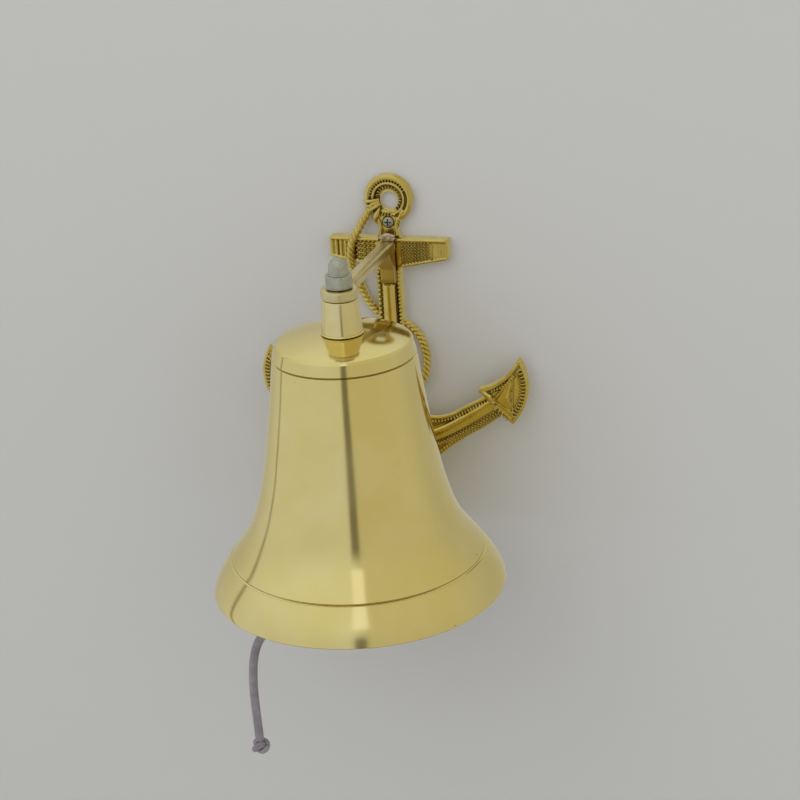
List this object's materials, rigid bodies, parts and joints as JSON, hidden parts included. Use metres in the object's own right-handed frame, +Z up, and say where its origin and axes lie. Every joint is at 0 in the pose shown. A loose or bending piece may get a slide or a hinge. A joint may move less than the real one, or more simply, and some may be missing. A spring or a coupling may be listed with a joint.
{
  "type": "ship bell",
  "caption": "Brass ship bell hung from a wall bracket cast as a rope-wound anchor, with a swinging clapper and a cord lanyard.",
  "frame": {"origin": "on the flat back of the anchor casting, where its stock crosses its shank", "axes": "+X to the right along the wall, +Y into the wall, +Z up; the bell hangs on the -Y side"},
  "size_m": [0.152, 0.1877, 0.3061],
  "materials": {
    "polished_brass": "mirror polished, lightly hazed",
    "turned_brass": "turned and polished",
    "satin_brass": "brushed satin",
    "cast_brass": "cast and buffed, brown in its hollows",
    "braze": "dull, pale filler metal",
    "zinc_steel": "zinc plated, dull grey",
    "cotton_cord": "braided cotton"
  },
  "bodies": {
    "root": {"anchor_casting": "cast_brass", "wall_screw_upper": "zinc_steel", "wall_screw_lower": "zinc_steel", "bracket_arm": "satin_brass", "braze_bead": "braze", "acorn_nut": "zinc_steel", "crown_boss": "turned_brass", "bell_shell": "polished_brass", "eye_bolt": "zinc_steel", "inner_washer": "zinc_steel", "inner_nut": "zinc_steel"},
    "link": {"clapper_link": "zinc_steel"},
    "clapper": {"clapper_rod": "turned_brass", "clapper_ball": "turned_brass", "clapper_lock_nut": "turned_brass", "lanyard_cord": "cotton_cord", "lanyard_stopper_knot": "cotton_cord", "lanyard_end_knot": "cotton_cord"}
  },
  "joints": [
    {"name": "clapper_swing", "type": "hinge", "parent": "root", "child": "link", "pos_m": [0, -0.086, -0.0419], "axis": [1, 0, 0], "range_deg": [-25, 25]},
    {"name": "clapper_sway", "type": "hinge", "parent": "link", "child": "clapper", "pos_m": [0, -0.086, -0.0571], "axis": [0, 1, 0], "range_deg": [-6, 6]}
  ]
}
